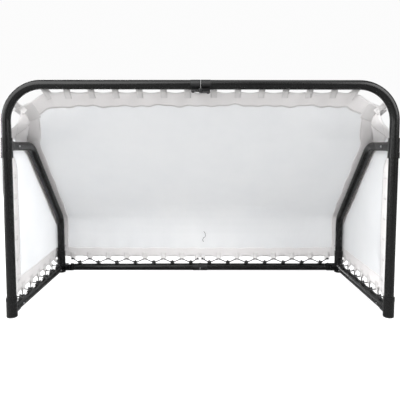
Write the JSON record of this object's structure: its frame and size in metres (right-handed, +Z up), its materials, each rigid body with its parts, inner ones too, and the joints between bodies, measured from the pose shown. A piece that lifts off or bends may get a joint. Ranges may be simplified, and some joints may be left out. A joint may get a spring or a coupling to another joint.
{
  "type": "folding hockey goal",
  "caption": "Free-standing folding steel hockey goal with a white net laced to its base bars; it folds sideways like an accordion.",
  "frame": {"origin": "on the floor, at the centre of the goal's box", "axes": "+Z up, +X to the right across the mouth as seen from in front, +Y from the mouth to the back; the mouth faces -Y"},
  "size_m": [1.614, 0.7426, 0.971],
  "materials": {
    "frame_steel": "gloss black",
    "hinge_steel": "black, worn",
    "button_steel": "zinc plated",
    "black_plastic": "moulded",
    "net_cloth": "fine woven mesh",
    "elastic_cord": "braided elastic"
  },
  "bodies": {
    "side_left": {"tee_left": "frame_steel", "foot_sleeve_left": "frame_steel", "foot_cap_left": "black_plastic", "side_tube_left": "frame_steel", "base_tube_left": "frame_steel", "rear_corner_left": "frame_steel", "rear_cap_left": "black_plastic", "swivel_pin_left": "hinge_steel", "side_hooks_left": "black_plastic", "side_lacing_left": "elastic_cord", "side_net_left": "net_cloth", "button_springs_left": "button_steel", "back_net": "net_cloth"},
    "front_left": {"corner_tube_left": "frame_steel", "lower_post_left": "frame_steel", "tee_collar_left": "frame_steel", "foot_collar_left": "frame_steel", "crossbar_leaf_left": "hinge_steel", "crossbar_rivet_left": "hinge_steel", "net_pegs_left": "black_plastic"},
    "rear_left": {"rear_eye_left": "frame_steel", "rear_tube_left": "frame_steel", "rear_leaf_left": "hinge_steel", "rear_hooks_left": "black_plastic", "rear_lacing_left": "elastic_cord", "rear_pin": "hinge_steel"},
    "tee_button_left": {"tee_button_left": "button_steel"},
    "foot_button_left": {"foot_button_left": "button_steel"},
    "base_button_left": {"base_button_left": "button_steel"},
    "corner_button_left": {"corner_button_left": "button_steel"},
    "side_right": {"tee_right": "frame_steel", "foot_sleeve_right": "frame_steel", "foot_cap_right": "black_plastic", "side_tube_right": "frame_steel", "base_tube_right": "frame_steel", "rear_corner_right": "frame_steel", "rear_cap_right": "black_plastic", "swivel_pin_right": "hinge_steel", "side_hooks_right": "black_plastic", "side_lacing_right": "elastic_cord", "side_net_right": "net_cloth", "button_springs_right": "button_steel"},
    "front_right": {"corner_tube_right": "frame_steel", "lower_post_right": "frame_steel", "tee_collar_right": "frame_steel", "foot_collar_right": "frame_steel", "crossbar_leaf_right": "hinge_steel", "crossbar_rivet_right": "hinge_steel", "net_pegs_right": "black_plastic", "crossbar_pin": "hinge_steel"},
    "rear_right": {"rear_eye_right": "frame_steel", "rear_tube_right": "frame_steel", "rear_leaf_right": "hinge_steel", "rear_hooks_right": "black_plastic", "rear_lacing_right": "elastic_cord"},
    "tee_button_right": {"tee_button_right": "button_steel"},
    "foot_button_right": {"foot_button_right": "button_steel"},
    "base_button_right": {"base_button_right": "button_steel"},
    "corner_button_right": {"corner_button_right": "button_steel"}
  },
  "joints": [
    {"name": "post_swivel_left", "type": "hinge", "parent": "side_left", "child": "front_left", "pos_m": [-0.781, -0.33325, 0.4], "axis": [0, 0, 1], "range_deg": [0, 85], "deforming": ["back_net"]},
    {"name": "crossbar_hinge", "type": "hinge", "parent": "front_left", "child": "front_right", "pos_m": [0, -0.36125, 0.925], "axis": [0, 0, 1], "range_deg": [-170, 0]},
    {"name": "post_swivel_right", "type": "hinge", "parent": "front_right", "child": "side_right", "pos_m": [0.781, -0.33325, 0.4], "axis": [0, 0, 1], "range_deg": [0, 85]},
    {"name": "rear_swivel_left", "type": "hinge", "parent": "side_left", "child": "rear_left", "pos_m": [-0.721, 0.32875, 0.03], "axis": [0, 0, 1], "range_deg": [-90, 0]},
    {"name": "rear_swivel_right", "type": "hinge", "parent": "side_right", "child": "rear_right", "pos_m": [0.721, 0.32875, 0.03], "axis": [0, 0, 1], "range_deg": [0, 90]},
    {"name": "tee_button_left_press", "type": "slide", "parent": "side_left", "child": "tee_button_left", "axis": [-1, 0, 0], "range_m": [0, 0.004], "stiffness_N_per_m": 900, "springref_m": -0.002},
    {"name": "foot_button_left_press", "type": "slide", "parent": "side_left", "child": "foot_button_left", "axis": [-1, 0, 0], "range_m": [0, 0.004], "stiffness_N_per_m": 900, "springref_m": -0.002},
    {"name": "base_button_left_press", "type": "slide", "parent": "side_left", "child": "base_button_left", "axis": [-1, 0, 0], "range_m": [0, 0.004], "stiffness_N_per_m": 900, "springref_m": -0.002},
    {"name": "corner_button_left_press", "type": "slide", "parent": "side_left", "child": "corner_button_left", "axis": [-1, 0, 0], "range_m": [0, 0.004], "stiffness_N_per_m": 900, "springref_m": -0.002},
    {"name": "tee_button_right_press", "type": "slide", "parent": "side_right", "child": "tee_button_right", "axis": [1, 0, 0], "range_m": [0, 0.004], "stiffness_N_per_m": 900, "springref_m": -0.002},
    {"name": "foot_button_right_press", "type": "slide", "parent": "side_right", "child": "foot_button_right", "axis": [1, 0, 0], "range_m": [0, 0.004], "stiffness_N_per_m": 900, "springref_m": -0.002},
    {"name": "base_button_right_press", "type": "slide", "parent": "side_right", "child": "base_button_right", "axis": [1, 0, 0], "range_m": [0, 0.004], "stiffness_N_per_m": 900, "springref_m": -0.002},
    {"name": "corner_button_right_press", "type": "slide", "parent": "side_right", "child": "corner_button_right", "axis": [1, 0, 0], "range_m": [0, 0.004], "stiffness_N_per_m": 900, "springref_m": -0.002}
  ],
  "couplings": [
    {"joint": "crossbar_hinge", "follows": "post_swivel_left", "ratio": -2},
    {"joint": "post_swivel_right", "follows": "post_swivel_left", "ratio": 1},
    {"joint": "rear_swivel_left", "follows": "post_swivel_left", "ratio": -1.0555},
    {"joint": "rear_swivel_right", "follows": "post_swivel_left", "ratio": 1.0555}
  ]
}
